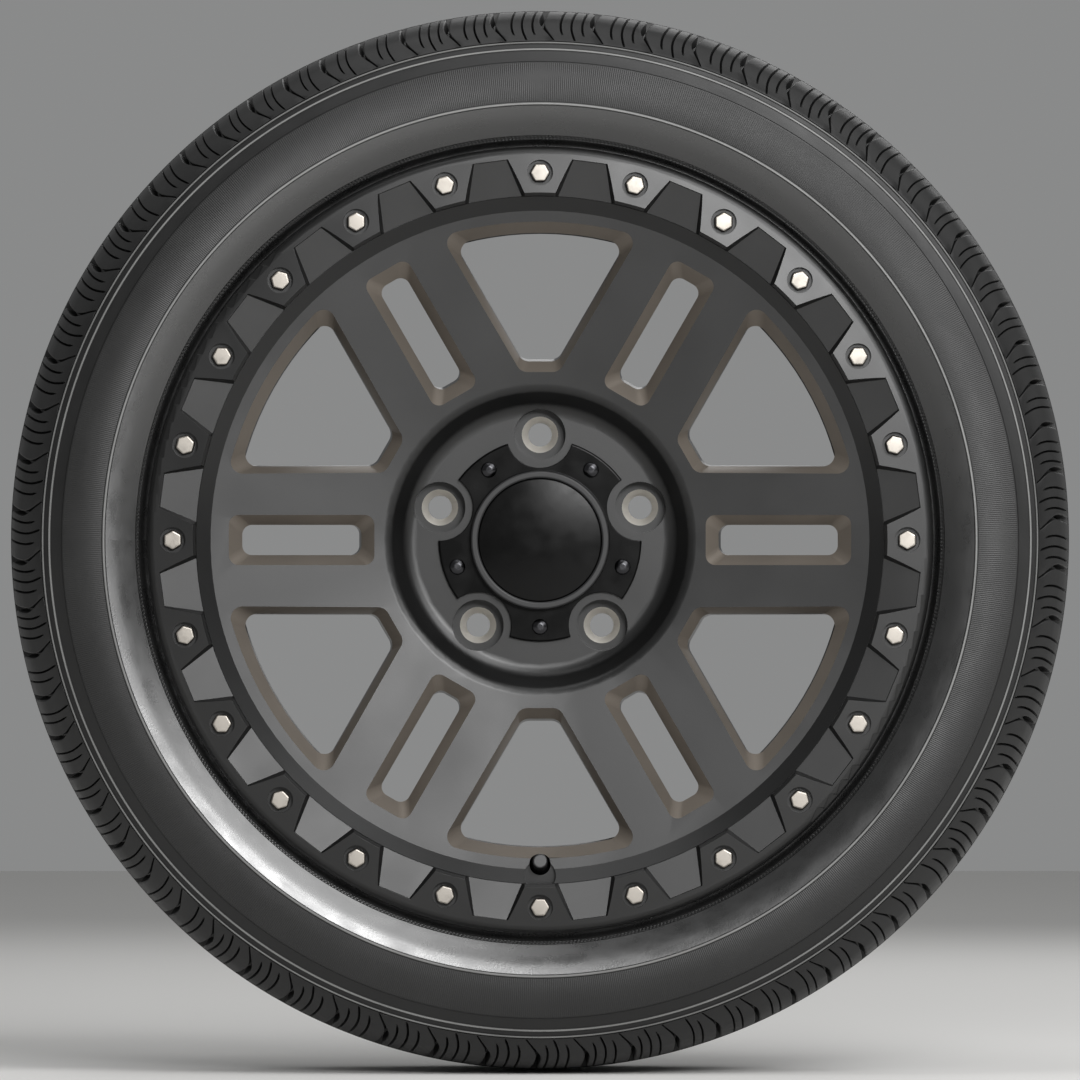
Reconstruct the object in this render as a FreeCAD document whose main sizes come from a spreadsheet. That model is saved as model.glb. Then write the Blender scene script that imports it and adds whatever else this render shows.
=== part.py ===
"""Road tyre on a cast six-spoke alloy wheel with a bolted rim ring.

The wheel spins about Y. Its outboard face looks along -Y and its origin is the
point where the axle line crosses the tyre's middle plane. Profiles are given as
a radius and a depth, where depth is measured outboard, along -Y.
"""

import math
import os

import FreeCAD
import Part
import Sketcher

Vector = FreeCAD.Vector

# Driving dimensions in millimetres and degrees
SIZES = {
    # Tyre, 225/55 R18
    "tyre_diameter": 704.7,
    "tyre_section_width": 233.0,
    "tread_width": 184.0,
    "crown_drop": 1.75,
    "crown_radius": 105.0,
    "shoulder_drop": 8.35,
    "block_drop": 22.65,
    "block_base_inset": 12.3,
    "bulge_height": 63.4,
    "upper_sidewall_radius": 64.0,
    "lower_sidewall_radius": 42.0,
    "sidewall_wall": 8.0,
    "tread_wall": 16.0,
    "bead_width": 16.6,
    "bead_gap": 0.3,
    "groove_width": 9.0,
    "groove_depth": 8.0,
    "inner_groove_place": 20.0,
    "outer_groove_place": 56.0,
    "shoulder_slot_count": 72,
    "shoulder_slot_width": 4.2,
    "shoulder_slot_depth": 6.5,
    "shoulder_slot_foot": 1.7,
    "bead_seat_gap": 0.2,
    # Rim, 18 x 7J
    "rim_diameter": 457.2,
    "rim_width": 177.8,
    "heel_radius": 6.8,
    "heel_width": 6.5,
    "seat_length": 14.0,
    "hump_height": 1.1,
    "hump_width": 4.0,
    "rear_flange_height": 17.4,
    "rear_flange_radius": 9.65,
    "rear_lip_width": 2.5,
    "front_flange_height": 23.4,
    "front_flange_radius": 12.0,
    "well_depth": 18.6,
    "well_width": 40.0,
    "barrel_wall": 6.0,
    "seat_taper": 0.5,
    "flange_land": 1.0,
    # How far a cut starts outside what it cuts
    "cut_over": 1.0,
    # Spoked face
    "ring_seat_depth": 14.1,
    "band_width": 9.3,
    "band_drop": 7.5,
    "band_step": 0.5,
    "spoke_dish": 12.5,
    "spoke_wall": 24.0,
    "spoke_count": 6,
    "spoke_half_width": 43.7,
    "bevel_depth": 10.0,
    "window_side_bevel": 5.5,
    "window_end_bevel": 9.0,
    "window_corner": 8.0,
    "window_rim_land": 5.4,
    "window_hub_land": 9.6,
    # The face is a cone, so a wide opening's flat outline starts above its middle
    "window_rise": 2.6,
    "slot_width": 20.0,
    "slot_bevel": 6.75,
    "slot_corner": 6.5,
    "slot_rim_land": 11.7,
    "slot_rise": 0.4,
    # Hub
    "hub_bore": 77.8,
    "bolt_circle": 139.7,
    "lug_count": 5,
    "lug_hole": 15.7,
    "lug_seat": 24.0,
    "lug_well": 34.0,
    "lug_well_depth": 18.0,
    "lug_seat_depth": 7.2,
    "hub_floor_land": 1.15,
    "hub_wall_run": 11.7,
    "hub_recess_depth": 15.5,
    "hub_thickness": 40.0,
    "hub_lip_round": 9.0,
    "hub_floor_round": 12.0,
    "pad_land": 15.0,
    # Rim ring and its bolts
    "ring_lip": 8.0,
    "ring_width": 32.7,
    "ring_thickness": 11.0,
    "ring_fall": 3.0,
    "ring_edge_radius": 6.0,
    "ring_chamfer": 2.0,
    "ring_fit_gap": 0.3,
    "ring_bolt_count": 24,
    "ring_bolt_inset": 9.5,
    "ring_bolt_size": 8.0,
    "ring_bolt_flats": 12.0,
    "ring_bolt_head": 5.3,
    "ring_bolt_bite": 8.5,
    "bolt_hole_gap": 0.3,
    "counterbore": 17.0,
    "counterbore_depth": 8.0,
    "pocket_depth": 8.0,
    "pocket_tilt": 8.0,
    "pocket_outer_width": 21.5,
    "pocket_inner_width": 35.0,
    "pocket_rim_land": 8.5,
    "pocket_draft": 2.5,
    # Centre cap
    "cap_disc_diameter": 81.4,
    "cap_collar_wall": 5.3,
    "cap_collar_height": 9.5,
    "cap_plate": 4.0,
    "cap_plate_inset": 2.5,
    "cap_chamfer": 1.0,
    "cap_scallop": 44.0,
    "cap_plug_inset": 7.0,
    "cap_fit_gap": 0.2,
    "cap_dome": 2.0,
    "cap_screw_circle": 115.0,
    "cap_screw_size": 5.0,
    "cap_screw_head": 11.0,
    "cap_screw_round": 0.6,
    "cap_screw_rise": 2.8,
    "cap_screw_length": 14.0,
    # Valve
    "valve_radius": 220.8,
    "valve_wall_depth": 58.0,
    "valve_wall": 4.0,
    "valve_tilt": 10.0,
    "valve_hole": 11.3,
    "valve_channel": 14.0,
    "valve_relief": 21.0,
    "valve_relief_depth": 12.0,
    "valve_foot": 14.0,
    "valve_foot_height": 6.0,
    "valve_neck": 8.8,
    "valve_body_length": 37.0,
    "valve_tube_diameter": 6.0,
    "valve_thread": 7.7,
    "valve_thread_length": 12.0,
    "valve_air_bore": 3.2,
    "valve_core_diameter": 5.2,
    "valve_core_length": 10.0,
    "valve_core_recess": 2.5,
    "valve_pin_diameter": 1.2,
    "valve_pin_bore": 1.9,
    "valve_pin_rise": 1.4,
    "valve_cap_wall": 0.75,
    "valve_cap_gap": 0.3,
    "valve_cap_top": 1.8,
    "valve_cap_dome": 1.2,
    "valve_chamfer": 0.4,
    "valve_fit_gap": 0.1,
}


class Size:
    """A number together with the spreadsheet expression that gives it."""

    def __init__(self, value, text):
        self.value = value
        self.text = text

    def joined(self, other, sign, value):
        return Size(value, f"({self.text} {sign} {as_size(other).text})")

    def __add__(self, other):
        return self.joined(other, "+", self.value + as_size(other).value)

    def __sub__(self, other):
        return self.joined(other, "-", self.value - as_size(other).value)

    def __mul__(self, other):
        return self.joined(other, "*", self.value * as_size(other).value)

    def __truediv__(self, other):
        return self.joined(other, "/", self.value / as_size(other).value)

    def __neg__(self):
        return Size(-self.value, f"(0 - {self.text})")


def as_size(number):
    return number if isinstance(number, Size) else Size(number, repr(number))


class Sheet:
    """The spreadsheet of driving dimensions, read as sheet.alias."""

    def __init__(self, doc):
        cells = doc.addObject("Spreadsheet::Sheet", "Sizes")
        for row, (alias, value) in enumerate(SIZES.items(), start=1):
            cells.set(f"A{row}", alias)
            cells.set(f"B{row}", str(value))
            cells.setAlias(f"B{row}", alias)
            setattr(self, alias, Size(value, f"Sizes.{alias}"))
        doc.recompute()


def origin_feature(body, role):
    return next(item for item in body.Origin.OriginFeatures if item.Role == role)


def new_body(doc, label):
    body = doc.addObject("PartDesign::Body", label)
    body.Label = label
    return body


def new_sketch(body, name, plane="XY_Plane", depth=None, turn=0.0, tilt=0.0):
    """Attach a sketch to an origin plane, raised by depth, turned about its normal, then tilted."""
    sketch = body.newObject("Sketcher::SketchObject", name)
    sketch.AttachmentSupport = [(origin_feature(body, plane), "")]
    sketch.MapMode = "FlatFace"
    height = depth.value if depth else 0.0
    spin = FreeCAD.Rotation(Vector(0, 0, 1), turn).multiply(FreeCAD.Rotation(Vector(1, 0, 0), tilt))
    sketch.AttachmentOffset = FreeCAD.Placement(Vector(0, 0, height), spin)
    if depth:
        sketch.setExpression("AttachmentOffset.Base.z", depth.text)
    return sketch


def bind(sketch, kind, places, size):
    """Add one dimension to a sketch and tie it to the sheet."""
    index = sketch.addConstraint(Sketcher.Constraint(kind, *places, size.value))
    sketch.setExpression(f"Constraints[{index}]", size.text)


def pin(sketch, geometry, end, x, y):
    """Tie a point of the sketch to the sheet in both directions."""
    for kind, axis, size in (("DistanceX", -2, x), ("DistanceY", -1, y)):
        if abs(size.value) < 1e-9:
            sketch.addConstraint(Sketcher.Constraint("PointOnObject", geometry, end, axis))
        elif size.value > 0:
            bind(sketch, kind, (-1, 1, geometry, end), size)
        else:
            bind(sketch, kind, (geometry, end, -1, 1), -size)


def arc_between(start, finish, radius):
    """Make the arc from start to finish; a negative radius turns clockwise."""
    chord = finish - start
    rise = math.sqrt(radius * radius - chord.Length * chord.Length / 4)
    side = 1 if radius > 0 else -1
    left = Vector(-chord.y, chord.x, 0).normalize()
    centre = (start + finish) / 2 + left * rise * side
    first, last = (start, finish) if side > 0 else (finish, start)
    angles = [math.atan2(point.y - centre.y, point.x - centre.x) for point in (first, last)]
    circle = Part.Circle(centre, Vector(0, 0, 1), abs(radius))
    return Part.ArcOfCircle(circle, *angles)


def draw_profile(sketch, corners):
    """Draw a closed outline; a corner's third value makes the edge after it an arc."""
    points = [(as_size(corner[0]), as_size(corner[1])) for corner in corners]
    spots = [Vector(x.value, y.value, 0) for x, y in points]
    edges = []
    for index, corner in enumerate(corners):
        start, finish = spots[index], spots[(index + 1) % len(spots)]
        radius = as_size(corner[2]) if len(corner) > 2 else None
        shape = arc_between(start, finish, radius.value) if radius else Part.LineSegment(start, finish)
        turned = bool(radius) and radius.value < 0
        edges.append((sketch.addGeometry(shape, False), 2 if turned else 1, 1 if turned else 2, radius))
    for index, (geometry, begin, _, radius) in enumerate(edges):
        before = edges[index - 1]
        sketch.addConstraint(Sketcher.Constraint("Coincident", before[0], before[2], geometry, begin))
        pin(sketch, geometry, begin, *points[index])
        if radius:
            bind(sketch, "Radius", (geometry,), radius if radius.value > 0 else -radius)


def draw_circle(sketch, x, y, diameter):
    radius = diameter / 2
    circle = Part.Circle(Vector(x.value, y.value, 0), Vector(0, 0, 1), radius.value)
    geometry = sketch.addGeometry(circle, False)
    bind(sketch, "Radius", (geometry,), radius)
    pin(sketch, geometry, 3, x, y)


def draw_axis(sketch, height):
    """Draw a construction line along the sketch's x axis, at the given height."""
    line = Part.LineSegment(Vector(-1, height.value, 0), Vector(1, height.value, 0))
    geometry = sketch.addGeometry(line, True)
    pin(sketch, geometry, 1, Size(-1.0, "(0 - 1)"), height)
    pin(sketch, geometry, 2, Size(1.0, "1"), height)


class Edge:
    """One edge of a rounded outline: a line by its outward normal, or a rim arc."""

    def __init__(self, distance, normal=None):
        self.distance = distance
        self.normal = normal

    def inset_line(self, inset):
        angle = math.radians(self.normal)
        return math.cos(angle), math.sin(angle), self.distance.value - inset


def corner_centre(edge, other, radius):
    """Find the centre of the round corner between two edges of an outline."""
    if edge.normal is not None and other.normal is not None:
        a, b, c = edge.inset_line(radius)
        d, e, f = other.inset_line(radius)
        cross = a * e - b * d
        return Vector((c * e - b * f) / cross, (a * f - c * d) / cross, 0)
    line, rim = (edge, other) if other.normal is None else (other, edge)
    a, b, c = line.inset_line(radius)
    along = math.sqrt((rim.distance.value - radius) ** 2 - c * c)
    spots = [Vector(a * c - b * along * way, b * c + a * along * way, 0) for way in (1, -1)]
    return max(spots, key=lambda spot: spot.y)


def touch_point(edge, centre, radius):
    if edge.normal is None:
        return centre + Vector(centre).normalize() * radius
    angle = math.radians(edge.normal)
    return centre + Vector(math.cos(angle), math.sin(angle), 0) * radius


def draw_rounded(sketch, edges, corner):
    """Draw a closed outline of lines and rim arcs, anticlockwise, with round corners."""
    count = len(edges)
    centres = [corner_centre(edges[i], edges[(i + 1) % count], corner.value) for i in range(count)]
    sides, rounds = [], []
    for index, edge in enumerate(edges):
        start = touch_point(edge, centres[index - 1], corner.value)
        finish = touch_point(edge, centres[index], corner.value)
        if edge.normal is None:
            shape = arc_between(start, finish, edge.distance.value)
        else:
            shape = Part.LineSegment(start, finish)
        sides.append(sketch.addGeometry(shape, False))
        after = touch_point(edges[(index + 1) % count], centres[index], corner.value)
        rounds.append(sketch.addGeometry(arc_between(finish, after, corner.value), False))
    for index, edge in enumerate(edges):
        side, turn = sides[index], rounds[index]
        sketch.addConstraint(Sketcher.Constraint("Tangent", side, 2, turn, 1))
        sketch.addConstraint(Sketcher.Constraint("Tangent", turn, 2, sides[(index + 1) % count], 1))
        bind(sketch, "Radius", (turn,), corner)
        if edge.normal is None:
            sketch.addConstraint(Sketcher.Constraint("Coincident", side, 3, -1, 1))
            bind(sketch, "Radius", (side,), edge.distance)
        else:
            heading = math.radians((edge.normal + 90 + 180) % 360 - 180)
            sketch.addConstraint(Sketcher.Constraint("Angle", side, heading))
            reach = edge.distance if edge.distance.value > 0 else -edge.distance
            bind(sketch, "Distance", (-1, 1, side), reach)


def revolve(body, name, corners, kind="Revolution"):
    """Turn a profile of (radius, depth) corners about the body's Y axis."""
    sketch = new_sketch(body, name + "Profile")
    draw_profile(sketch, [(corner[0], -as_size(corner[1]), *corner[2:]) for corner in corners])
    feature = body.newObject("PartDesign::" + kind, name)
    feature.Profile = sketch
    feature.ReferenceAxis = (sketch, ["V_Axis"])
    body.Tip = feature
    return feature


def turned_feature(body, name, kind, centre_height, corners):
    """Turn (radius, depth) corners about an axis along Y at a height on the Z axis."""
    sketch = new_sketch(body, name + "Profile", "YZ_Plane")
    draw_profile(sketch, [(-as_size(depth), centre_height + radius) for radius, depth in corners])
    draw_axis(sketch, centre_height)
    feature = body.newObject("PartDesign::" + kind, name)
    feature.Profile = sketch
    feature.ReferenceAxis = (sketch, ["Axis0"])
    body.Tip = feature
    return feature


def round_ring(body, name, feature, radius, depth, rounding):
    """Round the circular edge of a turned feature that lies at a radius and a depth."""
    body.Document.recompute()
    chosen = []
    for index, edge in enumerate(feature.Shape.Edges, start=1):
        if not isinstance(edge.Curve, Part.Circle):
            continue
        off_radius = abs(edge.Curve.Radius - radius.value)
        off_depth = abs(edge.Curve.Center.y + depth.value)
        if max(off_radius, off_depth) < 1e-3:
            chosen.append(f"Edge{index}")
    fillet = body.newObject("PartDesign::Fillet", name)
    fillet.Base = (feature, chosen)
    fillet.Radius = rounding.value
    fillet.setExpression("Radius", rounding.text)
    body.Tip = fillet
    return fillet


def extrude(body, name, kind, sketch, length, reverse=False):
    feature = body.newObject("PartDesign::" + kind, name)
    feature.Profile = sketch
    feature.Length = length.value
    feature.setExpression("Length", length.text)
    feature.Reversed = reverse
    body.Tip = feature
    return feature


def cut_loft(body, name, top, bottom):
    feature = body.newObject("PartDesign::SubtractiveLoft", name)
    feature.Profile = top
    feature.Sections = [bottom]
    feature.Ruled = True
    body.Tip = feature
    return feature


def around_axle(body, name, features, count):
    """Repeat features evenly about the body's Y axis."""
    pattern = body.newObject("PartDesign::PolarPattern", name)
    pattern.Originals = features
    pattern.Axis = (origin_feature(body, "Y_Axis"), [""])
    pattern.Angle = 360
    pattern.Occurrences = int(count.value)
    pattern.setExpression("Occurrences", count.text)
    body.Tip = pattern
    return pattern


class Layout:
    """Radii and depths that several pieces share."""

    def __init__(self, s):
        # Rim
        self.seat = s.rim_diameter / 2
        self.half_rim = s.rim_width / 2
        self.front_flange = self.seat + s.front_flange_height
        self.well = self.seat - s.well_depth
        self.barrel = self.well - s.barrel_wall
        # Ring and the face behind it
        self.ring_outer = self.front_flange + s.ring_lip
        self.ring_inner = self.ring_outer - s.ring_width
        self.ring_back = self.half_rim + s.ring_seat_depth
        self.ring_front = self.ring_back + s.ring_thickness
        self.ring_bolts = self.front_flange - s.ring_bolt_inset
        self.pocket_floor = self.ring_front - s.pocket_depth
        self.bolt_shelf = self.ring_front - s.counterbore_depth
        self.band_outer = self.ring_inner - s.ring_fit_gap
        self.band_inner = self.band_outer - s.band_width
        self.band_top = self.pocket_floor - s.band_step
        self.face = self.band_top - s.band_drop
        self.lip_depth = self.face - s.spoke_dish
        # Hub
        self.lugs = s.bolt_circle / 2
        self.hub_floor = self.lugs + s.lug_well / 2 + s.hub_floor_land
        self.hub_lip = self.hub_floor + s.hub_wall_run
        self.floor_depth = self.lip_depth - s.hub_recess_depth
        # The spokes' face falls towards the hub, and so do the openings cut into it
        slope = s.spoke_dish / (self.band_inner - self.hub_lip)
        self.face_slope = slope
        self.face_at_axle = self.face - slope * self.band_inner
        self.face_stretch = Size(math.hypot(1, slope.value), f"sqrt(1 + {slope.text} * {slope.text})")
        self.pad_depth = self.floor_depth - s.hub_thickness
        self.pad = self.lugs + s.pad_land
        # Cap
        self.cap_disc = s.cap_disc_diameter / 2
        self.cap_collar = self.cap_disc + s.cap_collar_wall
        self.cap_plug = self.cap_disc - s.cap_plug_inset
        self.cap_top = self.floor_depth + s.cap_plate
        self.cap_screws = s.cap_screw_circle / 2


def make_tyre(doc, s, at):
    """The tyre: a revolved section with four grooves, then slots across both shoulders."""
    body = new_body(doc, "tyre")
    crown = s.tyre_diameter / 2
    half = s.tyre_section_width / 2
    tread = s.tread_width / 2
    bulge = at.seat + s.bulge_height
    base = crown - s.block_drop
    rib_top = crown - s.crown_drop
    groove_half = s.groove_width / 2
    floor = crown - s.groove_depth
    liner = crown - s.tread_wall
    gap = s.bead_gap
    lip = at.front_flange + s.ring_lip + gap
    wall = at.half_rim - gap
    flange_foot = at.front_flange - s.front_flange_radius - s.flange_land
    flange_round = s.front_flange_radius + gap
    toe = wall - s.bead_width
    # One side, from the tread's middle round the shoulder to the bead's toe
    side = [
        (crown, s.inner_groove_place - groove_half),
        (floor, s.inner_groove_place - groove_half),
        (floor, s.inner_groove_place + groove_half),
        (crown, s.inner_groove_place + groove_half),
        (rib_top, s.outer_groove_place - groove_half),
        (floor, s.outer_groove_place - groove_half),
        (floor, s.outer_groove_place + groove_half),
        (rib_top, s.outer_groove_place + groove_half, s.crown_radius),
        (crown - s.shoulder_drop, tread),
        (base, half - s.block_base_inset, s.upper_sidewall_radius),
        (bulge, half, s.lower_sidewall_radius),
        (lip, at.ring_back - gap),
        (at.front_flange + gap, at.ring_back - gap),
        (flange_foot + flange_round, wall + flange_round, -flange_round),
        (flange_foot, wall),
        (at.seat + s.heel_radius, wall, s.heel_radius),
        (at.seat - s.bead_seat_gap, wall - s.heel_width),
        (at.seat - s.hump_height, toe),
    ]
    liner_side = [
        (at.seat + s.rear_flange_height, toe),
        (bulge, half - s.sidewall_wall),
        (base, half - s.block_base_inset - s.sidewall_wall),
        (liner, tread - s.tread_wall),
    ]
    front = [(r, -as_size(a), *[-as_size(bend) for bend in rest]) for r, a, *rest in side + liner_side]
    # The same corners at the rear, walked the other way, with each arc on its own edge
    bends = [rest for _, _, *rest in side + liner_side]
    rear = []
    for index in range(len(bends) - 1, -1, -1):
        r, a = (side + liner_side)[index][:2]
        bend = [-as_size(value) for value in bends[index - 1]] if index else []
        rear.append((r, a, *bend))
    sketch = new_sketch(body, "TyreSection")
    draw_profile(sketch, front + rear)
    section = body.newObject("PartDesign::Revolution", "TyreRevolve")
    section.Profile = sketch
    section.ReferenceAxis = (sketch, ["V_Axis"])
    body.Tip = section
    # A slot follows the shoulder from the outer groove to the foot of the blocks
    slots = new_sketch(body, "ShoulderSlots")
    over = crown + s.shoulder_slot_depth
    for side_sign in (1, -1):
        corners = [
            (over, s.outer_groove_place),
            (over, half + s.shoulder_slot_depth),
            (base + s.shoulder_slot_foot, half + s.shoulder_slot_depth),
            (base + s.shoulder_slot_foot, half - s.block_base_inset - s.cut_over),
            (crown - s.shoulder_drop - s.shoulder_slot_depth, tread - s.shoulder_slot_depth),
            (rib_top - s.shoulder_slot_depth, s.outer_groove_place),
        ]
        draw_profile(slots, [(r, as_size(a) * side_sign) for r, a in corners])
    slot = extrude(body, "ShoulderSlot", "Pocket", slots, s.shoulder_slot_width)
    slot.SideType = "Symmetric"
    around_axle(body, "ShoulderSlotRing", [slot], s.shoulder_slot_count)
    return body


def window_edges(s, at, grown):
    """The edges of a window at the top of the wheel; grown gives its outline at the face."""
    side = s.spoke_half_width if grown else s.spoke_half_width + s.window_side_bevel
    rim = at.band_inner - s.window_rim_land
    hub = at.hub_lip + s.window_hub_land
    if not grown:
        rim = rim - s.window_end_bevel
        hub = hub + s.window_end_bevel
    half_pitch = 180.0 / s.spoke_count.value
    rim, hub = rim * at.face_stretch, hub * at.face_stretch
    return [Edge(rim), Edge(-side, 180 + half_pitch), Edge(-hub, 270), Edge(-side, 360 - half_pitch)]


def slot_edges(s, at, grown):
    """The edges of a spoke's slot at the top of the wheel, before it is turned to its spoke."""
    half = s.slot_width / 2
    rim = at.band_inner - s.slot_rim_land
    hub = at.hub_lip + s.window_hub_land
    if grown:
        half = half + s.slot_bevel
    else:
        rim = rim - s.window_end_bevel
        hub = hub + s.window_end_bevel
    rim, hub = rim * at.face_stretch, hub * at.face_stretch
    return [Edge(rim, 90), Edge(half, 180), Edge(-hub, 270), Edge(half, 0)]


def cut_openings(body, name, s, at, edges, corner, rise, turn):
    """Cut one bevelled opening through every spoke or window, all round the wheel."""
    top = at.face_at_axle + rise
    bottom = at.face_at_axle - s.bevel_depth
    tilt = math.degrees(math.atan(at.face_slope.value))
    outline = new_sketch(body, name + "Outline", "XZ_Plane", top, turn, tilt)
    draw_rounded(outline, edges(s, at, True), corner)
    opening = new_sketch(body, name + "Opening", "XZ_Plane", bottom, turn, tilt)
    draw_rounded(opening, edges(s, at, False), corner)
    bevel = cut_loft(body, name + "Bevel", outline, opening)
    through = extrude(body, name + "Through", "Pocket", opening, at.face - at.pad_depth)
    around_axle(body, name + "Ring", [bevel, through], s.spoke_count)


def make_wheel(doc, s, at):
    """The cast wheel: barrel, flanges and disc as one revolve, then its openings."""
    body = new_body(doc, "wheel")
    front = at.half_rim
    heel = front - s.heel_width
    toe = heel - s.seat_length
    well_front = s.valve_wall_depth - s.valve_wall
    well_rear = well_front - s.well_width
    rear_flange = at.seat + s.rear_flange_height
    lip = front + s.rear_flange_radius + s.rear_lip_width
    slope = s.well_depth + s.hump_width
    back = at.face - s.spoke_wall
    foot = at.front_flange - s.front_flange_radius - s.flange_land
    hub_root = at.pad + s.pad_land / 2
    turned = revolve(body, "WheelRevolve", [
        (s.hub_bore / 2, at.pad_depth),
        (at.pad, at.pad_depth),
        (hub_root, back - s.pad_land),
        (at.barrel, back),
        (at.barrel, well_rear),
        (at.seat - s.hump_height * 2 - s.barrel_wall, well_rear - slope),
        (at.seat - s.hump_height - s.barrel_wall, -heel),
        (rear_flange - s.barrel_wall, -lip),
        (rear_flange, -lip),
        (rear_flange, -front - s.rear_flange_radius, -s.rear_flange_radius),
        (rear_flange - s.rear_flange_radius, -front),
        (at.seat + s.heel_radius, -front, s.heel_radius),
        (at.seat - s.seat_taper, -heel),
        (at.seat - s.hump_height * 1.5, -toe),
        (at.seat - s.hump_height * 2, well_rear - slope),
        (at.well, well_rear),
        (at.well, well_front),
        (at.seat - s.seat_taper, well_front + s.heel_width),
        (at.seat - s.seat_taper, well_front + s.heel_width + s.hump_width),
        (at.seat - s.hump_height * 1.5, toe),
        (at.seat - s.seat_taper, heel, s.heel_radius),
        (at.seat + s.heel_radius, front),
        (foot, front, -s.front_flange_radius),
        (foot + s.front_flange_radius, front + s.front_flange_radius),
        (at.front_flange, at.ring_back),
        (at.band_outer, at.ring_back),
        (at.band_outer, at.band_top),
        (at.band_inner, at.face),
        (at.hub_lip, at.lip_depth),
        (at.hub_floor, at.floor_depth),
        (s.hub_bore / 2, at.floor_depth),
    ])
    lip_round = round_ring(body, "HubLipRound", turned, at.hub_lip, at.lip_depth, s.hub_lip_round)
    round_ring(body, "HubFloorRound", lip_round, at.hub_floor, at.floor_depth, s.hub_floor_round)
    half_pitch = 180.0 / s.spoke_count.value
    cut_openings(body, "Window", s, at, window_edges, s.window_corner, s.window_rise, 0.0)
    cut_openings(body, "Slot", s, at, slot_edges, s.slot_corner, s.slot_rise, half_pitch)
    # Each lug hole has a well, a cone seat and a clear hole
    seat_top = at.floor_depth - s.lug_well_depth
    seat_foot = seat_top - s.lug_seat_depth
    lug = turned_feature(body, "LugHole", "Groove", at.lugs, [
        (0, at.floor_depth + s.hub_floor_round),
        (s.lug_well / 2, at.floor_depth + s.hub_floor_round),
        (s.lug_well / 2, seat_top),
        (s.lug_seat / 2, seat_top),
        (s.lug_hole / 2, seat_foot),
        (s.lug_hole / 2, at.pad_depth - s.cut_over),
        (0, at.pad_depth - s.cut_over),
    ])
    around_axle(body, "LugRing", [lug], s.lug_count)
    holes = new_sketch(body, "RingBoltHole", "XZ_Plane", at.ring_back)
    draw_circle(holes, Size(0.0, "0"), at.ring_bolts, s.ring_bolt_size + s.bolt_hole_gap)
    tapped = extrude(body, "RingBoltTap", "Pocket", holes, s.ring_bolt_bite + s.bolt_hole_gap)
    around_axle(body, "RingBoltTaps", [tapped], s.ring_bolt_count)
    screws = new_sketch(body, "CapScrewHole", "XZ_Plane", at.floor_depth)
    draw_circle(screws, Size(0.0, "0"), -at.cap_screws, s.cap_screw_size + s.bolt_hole_gap)
    tap = extrude(body, "CapScrewTap", "Pocket", screws, s.cap_screw_length)
    around_axle(body, "CapScrewTaps", [tap], s.lug_count)
    cut_valve_seat(body, s, at)
    return body


def valve_sketch(body, name, s, height, diameter):
    """A circle about the valve's axis, at a height above the inner face of the rim's wall."""
    sketch = new_sketch(body, name, "XZ_Plane")
    lean = math.radians(s.valve_tilt.value)
    rise = f"{height.text} * sin(Sizes.valve_tilt) - Sizes.valve_radius"
    depth = f"{height.text} * cos(Sizes.valve_tilt) + Sizes.valve_wall_depth"
    base = Vector(0, height.value * math.sin(lean) - s.valve_radius.value,
                  height.value * math.cos(lean) + s.valve_wall_depth.value)
    tilt = FreeCAD.Rotation(Vector(1, 0, 0), -s.valve_tilt.value)
    sketch.AttachmentOffset = FreeCAD.Placement(base, tilt)
    sketch.setExpression("AttachmentOffset.Base.y", rise)
    sketch.setExpression("AttachmentOffset.Base.z", depth)
    sketch.setExpression("AttachmentOffset.Rotation.Angle", "0 - Sizes.valve_tilt")
    circle = Part.Circle(Vector(0, 0, 0), Vector(0, 0, 1), diameter.value / 2)
    geometry = sketch.addGeometry(circle, False)
    sketch.addConstraint(Sketcher.Constraint("Coincident", geometry, 3, -1, 1))
    bind(sketch, "Radius", (geometry,), diameter / 2)
    return sketch


def cut_valve_seat(body, s, at):
    """The valve's hole through the rim, its channel to the front and the relief round it."""
    reach = s.valve_body_length + s.valve_thread_length + s.valve_wall
    ground = Size(0.0, "0")
    relief = new_sketch(body, "ValveRelief", "XZ_Plane", at.band_top + s.ring_fit_gap)
    draw_circle(relief, Size(0.0, "0"), -(at.band_outer - s.valve_relief / 4), s.valve_relief)
    extrude(body, "ValveArch", "Pocket", relief, s.valve_relief_depth)
    foot = valve_sketch(body, "ValveSpotFace", s, ground, s.valve_foot + s.bolt_hole_gap)
    extrude(body, "ValveSpot", "Pocket", foot, s.valve_foot_height)
    hole = valve_sketch(body, "ValveHole", s, s.valve_wall, s.valve_hole)
    extrude(body, "ValveDrill", "Pocket", hole, s.valve_wall * 2)
    channel = valve_sketch(body, "ValveChannel", s, s.valve_wall, s.valve_channel)
    extrude(body, "ValveBore", "Pocket", channel, reach, True)


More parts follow.
